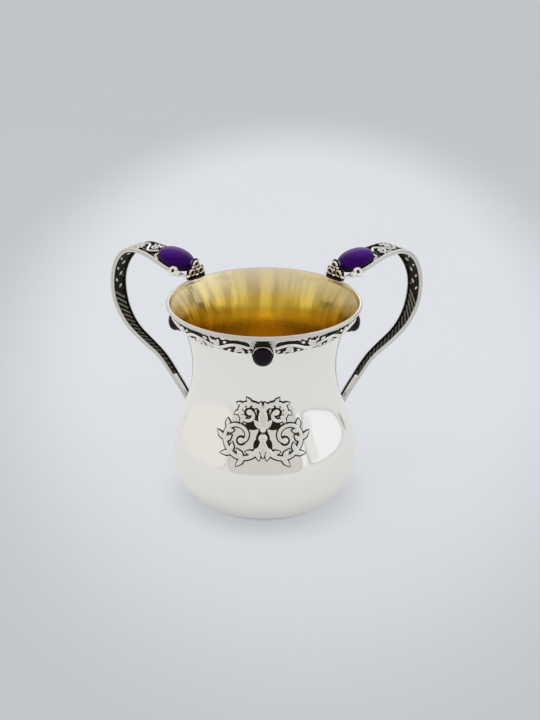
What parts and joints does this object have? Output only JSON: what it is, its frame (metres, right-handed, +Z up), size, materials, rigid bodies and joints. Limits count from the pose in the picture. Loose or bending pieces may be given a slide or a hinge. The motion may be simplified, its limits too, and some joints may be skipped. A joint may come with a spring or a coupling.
{
  "type": "ritual hand washing cup",
  "caption": "Two-handled ritual hand washing cup in polished silver with a gilt inside, a filigree band and cabochon stones.",
  "frame": {"origin": "centre of the base's underside, on the cup's axis", "axes": "+Z up along the cup's axis, +X to the right handle's side, -Y to the front, where the ornament is and the handles lean away from"},
  "size_m": [0.1688, 0.1246, 0.1173],
  "materials": {
    "silver": "polished",
    "oxidised_silver": "oxidised in the recesses, polished on top",
    "dark_stone": "polished cabochon",
    "purple_stone": "polished cabochon"
  },
  "bodies": {
    "root": {"bowl": "silver", "lip": "silver", "right_bezel": "silver", "rear_bezel": "silver", "left_bezel": "silver", "front_bezel": "silver", "front_ornament": "silver", "right_handle_front_rail": "silver", "right_handle_back_rail": "silver", "right_handle_tongue": "silver", "right_handle_stone_bezel": "silver", "right_handle_finial": "silver", "right_handle_foot_pad": "silver", "left_handle_front_rail": "silver", "left_handle_back_rail": "silver", "left_handle_tongue": "silver", "left_handle_stone_bezel": "silver", "left_handle_finial": "silver", "left_handle_foot_pad": "silver", "rear_right_band": "oxidised_silver", "rear_left_band": "oxidised_silver", "front_left_band": "oxidised_silver", "front_right_band": "oxidised_silver", "right_handle_scrollwork": "oxidised_silver", "right_handle_coil": "oxidised_silver", "right_handle_stone_seat": "oxidised_silver", "right_handle_rim_saddle": "oxidised_silver", "left_handle_scrollwork": "oxidised_silver", "left_handle_coil": "oxidised_silver", "left_handle_stone_seat": "oxidised_silver", "left_handle_rim_saddle": "oxidised_silver", "right_stone": "dark_stone", "rear_stone": "dark_stone", "left_stone": "dark_stone", "front_stone": "dark_stone", "right_handle_stone": "purple_stone", "left_handle_stone": "purple_stone"}
  },
  "joints": []
}
